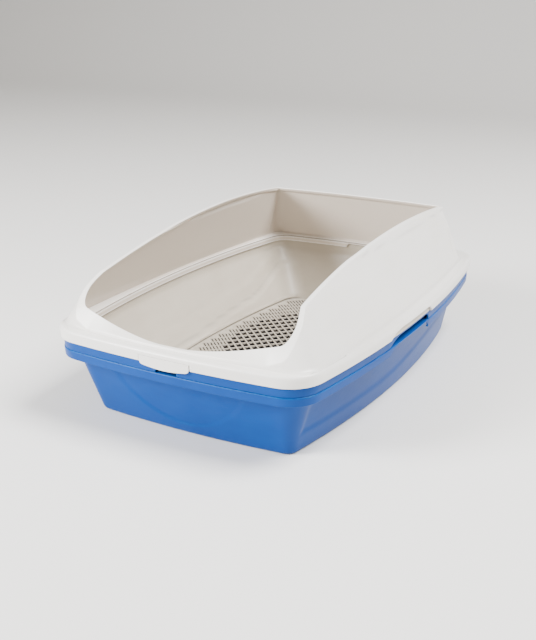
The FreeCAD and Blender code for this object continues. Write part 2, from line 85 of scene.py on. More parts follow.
# (position to reach, steps to it) from the middle of an end, and from the front of a side
ALONG_END = ((11.0, 4), (30.2, 8), (31.6, 4), (34.6, 3), (None, 28))
ALONG_SIDE = ((-86.0, 44), (-66.0, 14), (-40.0, 10), (14.0, 16), (22.0, 4), (32.0, 12),
              (None, 56))
CORNER_STEPS = 14


def smoothstep(low: float, high: float, value: float) -> float:
    """A soft ramp from 0 at low to 1 at high."""
    share = min(1.0, max(0.0, (value - low) / (high - low)))
    return share * share * (3.0 - 2.0 * share)


def arc_radius(half_chord: float, rise: float) -> float:
    """Radius of the arc that rises by rise over a chord."""
    return (half_chord ** 2 + rise ** 2) / (2.0 * rise)


def stations(start: float, stop: float,
             marks: Sequence[tuple[Optional[float], int]]) -> list[float]:
    """Positions from start to stop that land on every mark.

    Args:
        start: First position.
        stop: Last position, used where a mark is None.
        marks: Position to reach and how many steps to take to it.

    Returns:
        The positions in order, start and stop included.
    """
    places = [start]
    for mark, steps in marks:
        begin = places[-1]
        goal = stop if mark is None else mark
        places += [begin + (goal - begin) * step / steps for step in range(1, steps + 1)]
    return places


@dataclass(frozen=True)
class Outline:
    """A rounded oblong with four bowed sides, widest a little in front of its middle."""

    half_width: float
    half_length: float
    side_bow: float
    end_bow: float
    corner: float
    side_shift: float = 0.0
    ahead: float = 0.0
    rear_corner: Optional[float] = None

    def inset(self, side: float, end: Optional[float] = None, corner: Optional[float] = None,
              rear_corner: Optional[float] = None) -> "Outline":
        """The same outline moved inwards.

        Args:
            side: How far each side moves in.
            end: How far the front and back move in, if not the same.
            corner: Corner radius of the new outline, if not the same.
            rear_corner: Radius of its rear corners, if not the same as in front.

        Returns:
            The new outline.
        """
        return replace(self, half_width=self.half_width - side,
                       half_length=self.half_length - (side if end is None else end),
                       corner=self.corner if corner is None else corner, rear_corner=rear_corner)

    def shrunk(self, inset: float) -> "Outline":
        """The same outline moved inwards, with its front and rear corners smaller by as much."""
        return self.inset(inset, corner=self.corner - inset,
                          rear_corner=self.corner_radius(1) - inset)

    def corner_radius(self, towards: int) -> float:
        """Radius of the corners at the front (-1) or at the rear (1)."""
        return self.rear_corner if towards > 0 and self.rear_corner else self.corner

    def corner_hub(self, side_hub: Vector, side_radius: float, end_hub: Vector,
                   end_radius: float, towards: int) -> Vector:
        """Centre of the corner circle that touches a side arc and an end arc from inside."""
        side_reach = side_radius - self.corner_radius(towards)
        end_reach = end_radius - self.corner_radius(towards)
        gap = end_hub - side_hub
        along = (side_reach ** 2 - end_reach ** 2 + gap.length_squared) / (2.0 * gap.length)
        across = math.sqrt(side_reach ** 2 - along ** 2)
        unit = gap.normalized()
        normal = Vector((-unit.y, unit.x))
        spots = [side_hub + unit * along + normal * across * turn for turn in (1.0, -1.0)]
        return max(spots, key=lambda spot: spot.x + towards * spot.y)

    def ring(self, height: Height) -> Ring:
        """The outline as points, counter-clockwise from the middle of the front.

        Args:
            height: Height of the ring, or a function of x and y that gives it.

        Returns:
            The points, in the same places along every outline.
        """
        side_radius = arc_radius(self.half_length - self.end_bow, self.side_bow)
        end_radius = arc_radius(self.half_width - self.side_bow, self.end_bow)
        side_hub = Vector((self.half_width - side_radius, -self.side_shift))
        rear_hub = Vector((0.0, self.half_length - end_radius))
        front_hub = -rear_hub
        front_corner = self.corner_hub(side_hub, side_radius, front_hub, end_radius, -1)
        rear_corner = self.corner_hub(side_hub, side_radius, rear_hub, end_radius, 1)
        front_arm = (front_corner - front_hub).normalized()
        front_side_arm = (front_corner - side_hub).normalized()
        rear_arm = (rear_corner - rear_hub).normalized()
        rear_side_arm = (rear_corner - side_hub).normalized()

        half: list[tuple[float, float]] = []
        for x in stations(0.0, front_hub.x + front_arm.x * end_radius, ALONG_END):
            half.append((x, front_hub.y - math.sqrt(end_radius ** 2 - x * x)))
        half += self.bend(front_corner, front_arm, front_side_arm, self.corner_radius(-1))
        first = side_hub.y + front_side_arm.y * side_radius
        last = side_hub.y + rear_side_arm.y * side_radius
        shifted = [(None if mark is None else mark + self.ahead, steps)
                   for mark, steps in ALONG_SIDE]
        for y in stations(first, last, shifted)[1:]:
            half.append((side_hub.x + math.sqrt(side_radius ** 2 - (y - side_hub.y) ** 2), y))
        half += self.bend(rear_corner, rear_side_arm, rear_arm, self.corner_radius(1))
        for x in reversed(stations(0.0, rear_arm.x * end_radius, ALONG_END)[:-1]):
            half.append((x, rear_hub.y + math.sqrt(end_radius ** 2 - x * x)))

        points = []
        for x, y in half + [(-x, y) for x, y in reversed(half[1:-1])]:
            placed = y - self.ahead
            points.append(Vector((x, placed, height(x, placed) if callable(height) else height)))
        return points

    @staticmethod
    def bend(hub: Vector, start: Vector, stop: Vector,
             radius: float) -> list[tuple[float, float]]:
        """Points of a corner after its first, from one direction to another."""
        begin = math.atan2(start.y, start.x)
        turn = math.atan2(stop.y, stop.x) - begin
        turn = (turn + math.pi) % (2.0 * math.pi) - math.pi
        angles = [begin + turn * step / CORNER_STEPS for step in range(1, CORNER_STEPS + 1)]
        return [(hub.x + radius * math.cos(a), hub.y + radius * math.sin(a)) for a in angles]


RIM = Outline(174.7, 266.5, 22.9, 8.3, 40.0, side_shift=20.0)
PAN_FLOOR = Outline(141.2, 225.1, 19.8, 6.2, 13.0)
TRAY_FLOOR = Outline(112.0, 196.0, 14.0, 6.0, 30.0)
MOUTH = Outline(174.7, 256.0, 21.0, 8.3, 40.0, side_shift=9.5, ahead=10.5)
HOOD_FOOT = Outline(160.0, 243.8, 12.0, 9.0, 30.0, side_shift=60.0, ahead=12.2,
                    rear_corner=14.0)
HOOD_HEAD = Outline(124.5, 213.45, 8.45, 9.7, 22.0, side_shift=-90.0, ahead=16.15,
                    rear_corner=8.0)


# ---- sweeping a wall round the outlines ----

@dataclass
class Key:
    """A corner of a wall's section: the ring it runs through, its rounding and what follows."""

    ring: Ring
    radius: float = 0.0
    steps: int = 1
    share: float = 0.45


BEND_STEPS = 5


def rounded_rings(keys: Sequence[Key]) -> list[Ring]:
    """Rings along a section, with each key's corner rounded.

    Args:
        keys: The section's corners in order. The first and last are never rounded.

    Returns:
        Every ring of the wall.
    """
    rings: list[Ring] = []
    leaving = keys[0].ring
    rings.append(leaving)
    for index in range(1, len(keys)):
        before, key = keys[index - 1], keys[index]
        arriving = key.ring
        bend: list[Ring] = [key.ring]
        if key.radius and index + 1 < len(keys):
            bend = bent(before.ring, key, keys[index + 1].ring)
            arriving = bend[0]
        for step in range(1, before.steps):
            share = step / before.steps
            rings.append([a.lerp(b, share) for a, b in zip(leaving, arriving)])
        rings += bend
        leaving = bend[-1]
    return rings


def shaped_rings(keys: Sequence[Key], shape: Callable[[Vector], Vector]) -> list[Ring]:
    """Every ring of a wall, with each of its points moved by a relief."""
    return [[shape(point) for point in ring] for ring in rounded_rings(keys)]


def bent(before: Ring, key: Key, after: Ring) -> list[Ring]:
    """The rings that round one corner of a section."""
    shares = [step / BEND_STEPS for step in range(BEND_STEPS + 1)]
    rings: list[Ring] = [[] for _ in shares]
    for start, corner, stop in zip(before, key.ring, after):
        back, on = start - corner, stop - corner
        reach = min(key.radius, back.length * key.share, on.length * key.share)
        a = corner + back.normalized() * reach
        b = corner + on.normalized() * reach
        for ring, t in zip(rings, shares):
            ring.append(a * (1 - t) ** 2 + corner * (2 * t * (1 - t)) + b * t * t)
    return rings


def outwards(mesh: Mesh) -> Mesh:
    """Point every face of a mesh outwards."""
    bmesh.ops.recalc_face_normals(mesh, faces=mesh.faces[:])
    return mesh


class Shell:
    """A mesh that starts as a circle and grows ring by ring round the outlines."""

    def __init__(self, rings: Sequence[Ring]) -> None:
        """Extrude one ring of the wall after another.

        Args:
            rings: The wall's rings, all with the same number of points.
        """
        self.mesh = bmesh.new()
        made = bmesh.ops.create_circle(self.mesh, segments=len(rings[0]), radius=1.0)
        self.first = list(made["verts"])
        self.last = self.first
        self.lay(self.first, rings[0])
        for ring in rings[1:]:
            self.extrude(ring)

    @staticmethod
    def lay(verts: Sequence[Vert], ring: Ring) -> None:
        """Put a loop of vertices on a ring."""
        for vert, point in zip(verts, ring):
            vert.co = point * MM

    def edges(self, verts: Sequence[Vert]) -> list[bmesh.types.BMEdge]:
        """The edges round a loop of vertices."""
        pairs = zip(verts, list(verts[1:]) + [verts[0]])
        return [self.mesh.edges.get(pair) for pair in pairs]

    def extrude(self, ring: Ring) -> None:
        """Grow the wall by one ring."""
        grown = bmesh.ops.extrude_edge_only(self.mesh, edges=self.edges(self.last))
        fresh = {item for item in grown["geom"] if isinstance(item, Vert)}
        following = []
        for vert in self.last:
            others = (edge.other_vert(vert) for edge in vert.link_edges)
            following.append(next(other for other in others if other in fresh))
        self.last = following
        self.lay(self.last, ring)

    def join_ends(self) -> Mesh:
        """Close the section on itself, so that the wall is a ring-shaped solid."""
        bmesh.ops.weld_verts(self.mesh, targetmap=dict(zip(self.last, self.first)))
        return outwards(self.mesh)

    def cap_ends(self) -> Mesh:
        """Close the underside and the inner floor with a flat face each."""
        for loop in (self.first, self.last):
            bmesh.ops.contextual_create(self.mesh, geom=self.edges(loop))
        return outwards(self.mesh)


EDGE_ATTRIBUTE = "edge_wear"
CREASE_SHADE_ATTRIBUTE = "crease_shade"
INNER_SHADE_ATTRIBUTE = "inside"
WEAR_FROM = math.radians(8.0)
WEAR_FULL = math.radians(34.0)
INNER_SHADE_FROM = 0.1
INNER_SHADE_FULL = 0.6


def mark_surface(mesh: Mesh) -> None:
    """Store how sharply each vertex turns out (for wear) or in (for painted shade), and whether
    it faces the middle (for painted shade).
    """
    edge_layer = mesh.verts.layers.float.new(EDGE_ATTRIBUTE)
    crease_shade_layer = mesh.verts.layers.float.new(CREASE_SHADE_ATTRIBUTE)
    inner_shade_layer = mesh.verts.layers.float.new(INNER_SHADE_ATTRIBUTE)
    mesh.normal_update()
    for vert in mesh.verts:
        turns = [edge.calc_face_angle_signed(0.0) for edge in vert.link_edges]
        vert[edge_layer] = smoothstep(WEAR_FROM, WEAR_FULL, max(turns, default=0.0))
        # Concave turns give the mask for the painted shade in creases.
        vert[crease_shade_layer] = smoothstep(WEAR_FROM, WEAR_FULL, -min(turns, default=0.0))
        # Faces that look towards the middle get the mask for the painted inner shade.
        away = Vector((vert.co.x / RIM.half_width, vert.co.y / RIM.half_length, 0.0))
        facing = -vert.normal.dot(away.normalized()) if away.length else 0.0
        vert[inner_shade_layer] = smoothstep(INNER_SHADE_FROM, INNER_SHADE_FULL, facing)


def add_object(name: str, data: Optional[bpy.types.ID]) -> bpy.types.Object:
    """Make an object around its data and put it in the scene."""
    added = bpy.data.objects.new(name, data)
    bpy.context.scene.collection.objects.link(added)
    return added


def smooth_mesh(mesh: Mesh, name: str,
                material: Material) -> bpy.types.Mesh:
    """Turn a mesh, which is freed, into smooth-shaded mesh data with one material."""
    data = bpy.data.meshes.new(name)
    mesh.to_mesh(data)
    mesh.free()
    data.polygons.foreach_set("use_smooth", [True] * len(data.polygons))
    data.materials.append(material)
    return data


def face_towards(mesh: Mesh, direction: Triple) -> None:
    """Turn an open sheet's faces so that they point in a direction."""
    outwards(mesh)
    if mesh.faces[0].normal.dot(Vector(direction)) < 0.0:
        bmesh.ops.reverse_faces(mesh, faces=mesh.faces[:])


def finish_piece(mesh: Mesh, name: str, body: str,
                 material: Material, stands_for: Sequence[str] = ()) -> None:
    """Turn a mesh into a finished piece that rides on its body.

    Args:
        mesh: The mesh, which is freed.
        name: Name of the piece.
        body: The body it moves with.
        material: Its finish.
        stands_for: CAD nodes that it replaces.
    """
    mark_surface(mesh)
    data = smooth_mesh(mesh, name, material)
    data.set_sharp_from_angle(angle=SMOOTH_LIMIT)
    piece = add_object(name, data)
    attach(piece, body)
    if stands_for:
        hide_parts(*stands_for)
    LOG.info("%s: %d faces on %s", name, len(data.polygons), body)


# ---- finishes ----

Value = Any


def operator(operation: str, swapped: bool = False) -> Callable[["Socket", Value], "Socket"]:
    """An arithmetic method that adds a Math node, with its own socket second if swapped."""
    def combine(own: "Socket", other: Value) -> "Socket":
        """Add the node for this socket and another value."""
        return own.math(operation, other, own) if swapped else own.math(operation, own, other)
    return combine


class Socket:
    """A shader value that can be used in ordinary arithmetic."""

    def __init__(self, paint: "Paint", socket: bpy.types.NodeSocket) -> None:
        """Wrap an output socket of a material that is being built."""
        self.paint = paint
        self.socket = socket

    def math(self, operation: str, first: Value, second: Value) -> "Socket":
        """Add a Math node for an operation on two values."""
        return self.paint.node("ShaderNodeMath", {"operation": operation}, {0: first, 1: second})

    __add__ = operator("ADD")
    __radd__ = operator("ADD", swapped=True)
    __sub__ = operator("SUBTRACT")
    __rsub__ = operator("SUBTRACT", swapped=True)
    __mul__ = operator("MULTIPLY")
    __rmul__ = operator("MULTIPLY", swapped=True)

    def limited(self) -> "Socket":
        """The value held between 0 and 1."""
        return self.paint.node("ShaderNodeClamp", {}, {"Value": self})


class Paint:
    """Builds one node material around a Principled shader."""

    def __init__(self, name: str) -> None:
        """Start a material.

        Args:
            name: Name of the material.
        """
        self.material = bpy.data.materials.new(name)
        self.material.use_nodes = True
        self.tree = self.material.node_tree
        self.shader = self.tree.nodes["Principled BSDF"]

    def node(self, kind: str, settings: dict[str, Any], sockets: dict[Any, Value],
             output: Any = 0) -> Socket:
        """Add a node.

        Args:
            kind: The node's type.
            settings: Its own settings, made first. "stops" holds a colour ramp's stops.
            sockets: Values or wrapped sockets for its inputs.
            output: Name or index of the output to hand back.

        Returns:
            The wrapped output.
        """
        made = self.tree.nodes.new(kind)
        for key, value in settings.items():
            if key == "stops":
                self.fill_ramp(made, value)
            else:
                setattr(made, key, value)
        for key, value in sockets.items():
            self.feed(made.inputs[key], value)
        return Socket(self, made.outputs[output])

    @staticmethod
    def fill_ramp(made: bpy.types.Node, stops: Sequence[tuple[float, Any]]) -> None:
        """Give a colour ramp its stops."""
        elements = made.color_ramp.elements
        while len(elements) < len(stops):
            elements.new(0.5)
        for element, (position, colour) in zip(elements, stops):
            element.position = position
            element.color = colour

    def feed(self, target: bpy.types.NodeSocket, value: Value) -> None:
        """Link a wrapped socket to an input, or set a plain value on it."""
        if isinstance(value, Socket):
            self.tree.links.new(value.socket, target)
        else:
            target.default_value = value

    def mix(self, share: Value, first: Value, second: Value, blend: str = "MIX") -> Socket:
        """Mix two colours.

        Args:
            share: How much of the second.
            first: First colour.
            second: Second colour.
            blend: Blend mode.

        Returns:
            The mixed colour.
        """
        settings = {"data_type": "RGBA", "blend_type": blend}
        return self.node("ShaderNodeMix", settings, {0: share, 6: first, 7: second}, output=2)

    def noise(self, place: Socket, scale: float, detail: float = 3.0,
              roughness: float = 0.55) -> Socket:
        """Noise of a given scale, in features per metre."""
        sockets = {"Vector": place, "Scale": scale, "Detail": detail, "Roughness": roughness}
        return self.node("ShaderNodeTexNoise", {}, sockets)

    def place(self) -> Socket:
        """The surface's position on the object, in metres."""
        return self.node("ShaderNodeTexCoord", {}, {}, output="Object")

    def stretched(self, place: Socket, stretch: Triple) -> Socket:
        """Position scaled unevenly, for streaks along one direction."""
        return self.node("ShaderNodeMapping", {}, {"Vector": place, "Scale": stretch})

    def height_of(self, place: Socket) -> Socket:
        """Height above the floor, in metres."""
        return self.node("ShaderNodeSeparateXYZ", {}, {"Vector": place}, output="Z")

    def ramp(self, value: Socket, low: float, high: float) -> Socket:
        """A soft ramp from 0 at low to 1 at high."""
        return self.node("ShaderNodeMapRange", {"interpolation_type": "SMOOTHSTEP"},
                         {"Value": value, "From Min": low, "From Max": high})

    def stored(self, attribute: str) -> Socket:
        """A value that the mesh carries at its vertices."""
        settings = {"attribute_type": "GEOMETRY", "attribute_name": attribute}
        return self.node("ShaderNodeAttribute", settings, {}, output="Fac")


@dataclass(frozen=True)
class MouldedPlastic:
    """Injection-moulded polypropylene: satin skin, faint flow marks, polished edges, with painted
    shade in creases, on inward faces and deep in sieves.

    Attributes:
        name: Name of the finish.
        colour: Main colour, linear.
        deep: Colour of the thicker, cloudier patches.
        edge: Colour along worn edges.
        roughness: Roughness of the skin.
        coat: Weight of the glossy top layer.
        grain: Depth of the fine moulded grain, 0 to 1.
        glow: How far light travels inside the plastic, 0 to 1.
        shine: Strength of the mirror-like part of the reflection.
        inner: Painted shade colour for the faces that look towards the middle of the box,
            standing in for the dim, warm light inside.
        inner_shade_share: How much of that painted shade they take on.
        shade: Painted shade colour deep in creases and between the ribs of a sieve.
        crease_shade_strength: How strongly the painted shade darkens creases, 0 to 1.
        depth_floor: Height under which the shade takes over, in metres.
    """

    name: str
    colour: Colour
    deep: Colour
    edge: Colour
    roughness: float
    coat: float
    grain: float
    glow: float
    shine: float = 0.5
    inner: Colour = (0.5, 0.5, 0.5, 1.0)
    inner_shade_share: float = 0.0
    shade: Colour = (0.02, 0.02, 0.03, 1.0)
    crease_shade_strength: float = 0.45
    depth_floor: float = -1.0

    cloud_scale: float = 9.0
    flow_scale: float = 34.0
    grain_scale: float = 1500.0
    peel_scale: float = 190.0
    scratch_scale: float = 60.0
    rub_share: float = 0.55
    depth_fade: float = 0.0015
    cloud_rough: float = 0.12
    scuff_rough: float = 0.1
    worn_rough: float = 0.06

    def material(self) -> Material:
        """Build the node material."""
        paint = Paint(self.name)
        place = paint.place()
        clouds = paint.noise(place, self.cloud_scale, detail=4.0)
        flow = paint.noise(paint.stretched(place, (1.0, 0.35, 2.6)), self.flow_scale, detail=2.0)
        grain = paint.noise(place, self.grain_scale, detail=1.0)
        peel = paint.noise(place, self.peel_scale, detail=2.0)
        scuffs = paint.noise(paint.stretched(place, (6.0, 0.5, 4.0)), self.scratch_scale,
                             detail=5.0, roughness=0.7)
        worn = paint.stored(EDGE_ATTRIBUTE)

        cloudy = paint.ramp(clouds * 0.7 + flow * 0.3, 0.36, 0.66)
        colour = paint.mix(cloudy, self.colour, self.deep)
        # Painted shade: inward faces take on the dim, warm inner colour.
        inwards = paint.stored(INNER_SHADE_ATTRIBUTE) * (1.0 - worn) * self.inner_shade_share
        colour = paint.mix(inwards, colour, self.inner)
        rubbed = (worn * paint.ramp(scuffs, 0.34, 0.62)).limited()
        colour = paint.mix(rubbed * self.rub_share, colour, self.edge)
        # Painted shade: creases darken towards the shade colour.
        colour = paint.mix(paint.stored(CREASE_SHADE_ATTRIBUTE) * self.crease_shade_strength, colour, self.shade)
        # Painted shade: below depth_floor, low between the sieve's ribs, the colour gives way to
        # the shade colour.
        depth = paint.ramp(paint.height_of(place), self.depth_floor,
                           self.depth_floor + self.depth_fade)
        colour = paint.mix(depth, self.shade, colour)

        dull = paint.ramp(scuffs, 0.55, 0.8)
        rough = (self.roughness + (clouds - 0.5) * self.cloud_rough + dull * self.scuff_rough
                 - worn * self.worn_rough)
        paint.feed(paint.shader.inputs["Base Color"], colour)
        paint.feed(paint.shader.inputs["Roughness"], rough.limited())
        relief = grain * self.grain + peel * 0.8 + flow * 0.5
        sockets = {"Strength": 0.16, "Distance": 0.0006, "Height": relief}
        bump = paint.node("ShaderNodeBump", {}, sockets, output="Normal")
        paint.feed(paint.shader.inputs["Normal"], bump)
        self.set_constants(paint.shader)
        return paint.material

    def set_constants(self, shader: bpy.types.Node) -> None:
        """Set what is the same all over the plastic."""
        constants = {"IOR": 1.49, "Specular IOR Level": self.shine, "Coat Weight": self.coat,
                     "Coat Roughness": 0.16, "Subsurface Weight": self.glow,
                     "Subsurface Radius": (1.0, 0.8, 0.6), "Subsurface Scale": 0.004}
        for name, value in constants.items():
            shader.inputs[name].default_value = value


PAN_BLUE = MouldedPlastic("blue_polypropylene", colour=(0.0, 0.055, 0.27, 1.0),
                          deep=(0.0, 0.046, 0.235, 1.0), edge=(0.0, 0.17, 0.50, 1.0),
                          roughness=0.36, coat=0.0, grain=0.35, glow=0.0, shine=0.14,
                          shade=(0.0, 0.01, 0.06, 1.0))
TRAY_BONE = MouldedPlastic("bone_polypropylene", colour=(0.55, 0.50, 0.42, 1.0),
                           deep=(0.50, 0.445, 0.365, 1.0), edge=(0.78, 0.73, 0.65, 1.0),
                           roughness=0.42, coat=0.08, grain=0.8, glow=0.03,
                           shade=(0.035, 0.03, 0.03, 1.0), crease_shade_strength=0.6)
# The sieve's finish takes painted shade low between its ribs.
SIEVE_BONE = replace(TRAY_BONE, name="sieve_polypropylene", depth_floor=0.0172)
# The frame's inner colour is painted shade for the hood's inside faces.
FRAME_BONE = MouldedPlastic("pale_polypropylene", colour=(0.90, 0.88, 0.845, 1.0),
                            deep=(0.86, 0.835, 0.79, 1.0), edge=(0.97, 0.965, 0.95, 1.0),
                            roughness=0.34, coat=0.18, grain=0.5, glow=0.03,
                            inner=(0.60, 0.51, 0.42, 1.0), inner_shade_share=0.75,
                            shade=(0.12, 0.09, 0.07, 1.0), crease_shade_strength=0.5)


# ---- the pieces ----

END_ZONE = 200.0
SIDE_ZONE = 100.0


@dataclass(frozen=True)
class FingerArch:
    """The arch that a skirt makes over each hand slot, long at the front and short behind."""

    front: float = -82.0
    rear: float = 31.0
    front_sweep: float = 34.0
    rear_sweep: float = 10.0
    front_power: float = 2.2

    def rise(self, x: float, y: float) -> float:
        """Share of the arch's full rise at a point of the outline."""
        if not self.front < y < self.rear:
            return 0.0
        ahead = min(1.0, (y - self.front) / self.front_sweep)
        behind = min(1.0, (self.rear - y) / self.rear_sweep)
        opening = 1.0 - (1.0 - ahead) ** self.front_power
        return opening * math.sqrt(1.0 - (1.0 - behind) ** 2)


@dataclass(frozen=True)
class Pan:
    """One blue tub with its inverted-channel rim."""

    name: str
    body: str
    lift: float
    windows: bool
    skirt_foot: float = 71.1
    top: float = 81.0
    wall: float = 1.6
    rim_inset: float = 3.3
    draft: float = 0.7
    arch_rise: float = 7.9
    arch: FingerArch = FingerArch()
    window_half: float = 11.0
    panel_depth: float = 1.5
    panel_front: float = -214.0
    panel_rear: float = 206.0
    panel_limit: float = 222.0
    panel_slope: float = 0.8
    disc_radius: float = 89.0
    disc_centre: float = 103.0
    disc_depth: float = 0.8
    disc_edge: float = 1.5

    def foot(self, x: float, y: float) -> float:
        """Height of the skirt's foot, raised over the hand slots and at the windows."""
        rise = self.arch_rise * self.arch.rise(x, y)
        if self.windows and abs(x) < self.window_half + 0.1 and abs(y) > END_ZONE:
            rise = self.arch_rise
        return self.skirt_foot + rise

    @staticmethod
    def panel_line(y: float) -> float:
        """Height of the lower edge of a side panel, which climbs towards the rear."""
        return 24.0 + 16.0 * smoothstep(-60.0, 140.0, y)

    def relief(self, point: Vector) -> Vector:
        """Move a point of the tub's wall in for the side panels and the front's disc."""
        moved = point.copy()
        if abs(point.x) > SIDE_ZONE and abs(point.y) < self.panel_limit:
            inside = min(point.z - self.panel_line(point.y),
                         (point.y - self.panel_front) * self.panel_slope,
                         (self.panel_rear - point.y) * self.panel_slope)
            moved.x -= math.copysign(self.panel_depth * smoothstep(-2.5, 5.0, inside), point.x)
        elif point.y < -END_ZONE:
            reach = math.hypot(point.x, point.z - self.disc_centre)
            inside = smoothstep(-self.disc_edge, self.disc_edge, self.disc_radius - reach)
            moved.y += self.disc_depth * inside
        return moved

    def keys(self) -> list[Key]:
        """The section of the pan, from under its floor to the top of its floor."""
        floor_edge = PAN_FLOOR.inset(9.0, corner=8.0)
        collar = RIM.inset(17.0, corner=25.0)
        mouth = RIM.inset(16.3, 15.2, 25.0)
        under = self.top - self.wall
        inner = self.rim_inset + self.wall
        foot_edge = RIM.inset(self.rim_inset + self.draft, corner=36.0)
        foot_inner = RIM.inset(inner + self.draft, corner=34.4)
        return [
            Key(floor_edge.ring(0.0)),
            Key(PAN_FLOOR.ring(0.0), radius=5.0, steps=30),
            Key(collar.ring(self.skirt_foot), steps=3),
            Key(RIM.inset(15.0, corner=25.0).ring(under), radius=1.2, steps=2),
            Key(RIM.inset(inner, corner=35.0).ring(under), radius=0.8, steps=2),
            Key(foot_inner.ring(self.foot)),
            Key(foot_edge.ring(self.foot), radius=0.5, steps=3),
            Key(RIM.inset(self.rim_inset, corner=36.7).ring(self.top), radius=2.0, steps=3),
            Key(mouth.ring(self.top), radius=1.4, steps=30),
            Key(PAN_FLOOR.inset(1.3, corner=11.4).ring(self.wall), radius=5.0, steps=2),
            Key(floor_edge.ring(self.wall)),
        ]

    def build(self, material: Material) -> None:
        """Make the pan and put it on its body."""
        shell = Shell(shaped_rings(self.keys(), self.lifted))
        finish_piece(shell.cap_ends(), self.name + "_tub", self.body, material,
                     [self.name])

    def lifted(self, point: Vector) -> Vector:
        """A point of the section with its relief, at this pan's height."""
        shaped = self.relief(point) if self.wall < point.z < self.skirt_foot else point
        return shaped + Vector((0.0, 0.0, self.lift))


@dataclass(frozen=True)
class SievePlate:
    """The slotted floor of the tray: open cells in the middle, fine slots round them."""

    pitch: float = 8.6
    row_pitch: float = 13.4
    rib: float = 2.3
    slot_rib: float = 2.9
    thickness: float = 6.4
    top: float = 19.5
    margin: float = 3.0
    centre: float = 34.0
    open_half_width: float = 92.0
    open_half_length: float = 118.0

    def is_open(self, x: float, y: float) -> bool:
        """Whether a cell lies in the middle zone of wide holes."""
        across = x / self.open_half_width
        along = (y - self.centre) / self.open_half_length
        return across * across + along * along < 1.0

    def in_sieve(self, x: float, y: float) -> bool:
        """Whether a cell is slotted at all."""
        spare = self.row_pitch / 2 + self.margin
        half_length = TRAY_FLOOR.half_length - spare
        allowed = TRAY_FLOOR.half_width - TRAY_FLOOR.side_bow * (y / half_length) ** 2 - spare
        corner = TRAY_FLOOR.half_width + TRAY_FLOOR.half_length - TRAY_FLOOR.corner * 1.6
        return abs(x) < allowed and abs(y) < half_length and abs(x) + abs(y) < corner

    def build(self, body: str, material: Material) -> None:
        """Make the plate and put it on the tray's body."""
        mesh = bmesh.new()
        reach = TRAY_FLOOR.half_length + TRAY_FLOOR.half_width
        columns = 4 * round(reach / self.pitch)
        rows = 2 * round(reach / self.row_pitch)
        bmesh.ops.create_grid(mesh, x_segments=columns, y_segments=rows, size=0.5)
        width, depth = columns * self.pitch / 2, rows * self.row_pitch
        bmesh.ops.scale(mesh, vec=(width, depth, 1.0), verts=mesh.verts)
        turn = math.sqrt(0.5)
        for vert in mesh.verts:
            across, along = vert.co.x, vert.co.y
            vert.co = Vector(((across - along) * turn, (across + along) * turn, self.top))
        far = [face for face in mesh.faces if not self.near(face.calc_center_median())]
        bmesh.ops.delete(mesh, geom=far, context="FACES")
        self.open_cells(mesh)
        self.trim(mesh)
        bmesh.ops.scale(mesh, vec=(MM, MM, MM), verts=mesh.verts)
        face_towards(mesh, (0.0, 0.0, 1.0))
        bmesh.ops.solidify(mesh, geom=mesh.faces[:], thickness=self.thickness * MM)
        finish_piece(outwards(mesh), "sieve_floor", body, material)

    def near(self, middle: Vector) -> bool:
        """Whether a face is close enough to the tray's floor to be kept."""
        spare = 2 * self.row_pitch
        return (abs(middle.x) < TRAY_FLOOR.half_width + spare
                and abs(middle.y) < TRAY_FLOOR.half_length + spare)

    def open_cells(self, mesh: Mesh) -> None:
        """Join pairs of half cells in the middle zone, then cut every hole and slot."""
        middle_edges = []
        for edge in mesh.edges:
            if len(edge.link_faces) != 2:
                continue
            along = edge.verts[1].co - edge.verts[0].co
            if along.length < self.row_pitch * 0.9:
                continue
            middle = (edge.verts[0].co + edge.verts[1].co) / 2
            across = (middle.x + middle.y) * math.sqrt(0.5) / self.pitch
            is_between = abs(across - math.floor(across) - 0.5) < 0.2
            here = (middle.x, middle.y)
            if is_between and self.is_open(*here) and self.in_sieve(*here):
                middle_edges.append(edge)
        bmesh.ops.dissolve_edges(mesh, edges=middle_edges, use_verts=False)
        half_cell = self.pitch * self.row_pitch / 2
        wide, narrow = [], []
        for face in mesh.faces:
            middle = face.calc_center_bounds()
            if face.calc_area() > half_cell * 1.5:
                wide.append(face)
            elif self.in_sieve(middle.x, middle.y):
                narrow.append(face)
        for faces, rib in ((wide, self.rib), (narrow, self.slot_rib)):
            bmesh.ops.inset_individual(mesh, faces=faces, thickness=rib / 2, use_even_offset=True)
        bmesh.ops.delete(mesh, geom=wide + narrow, context="FACES")

    def trim(self, mesh: Mesh) -> None:
        """Cut the plate to the tray's floor."""
        ring = TRAY_FLOOR.inset(2.0).ring(self.top)[::6]
        for start, stop in zip(ring, ring[1:] + ring[:1]):
            side = stop - start
            away = Vector((side.y, -side.x, 0.0))
            bmesh.ops.bisect_plane(mesh, geom=mesh.verts[:] + mesh.edges[:] + mesh.faces[:],
                                   plane_co=start, plane_no=away, clear_outer=True)


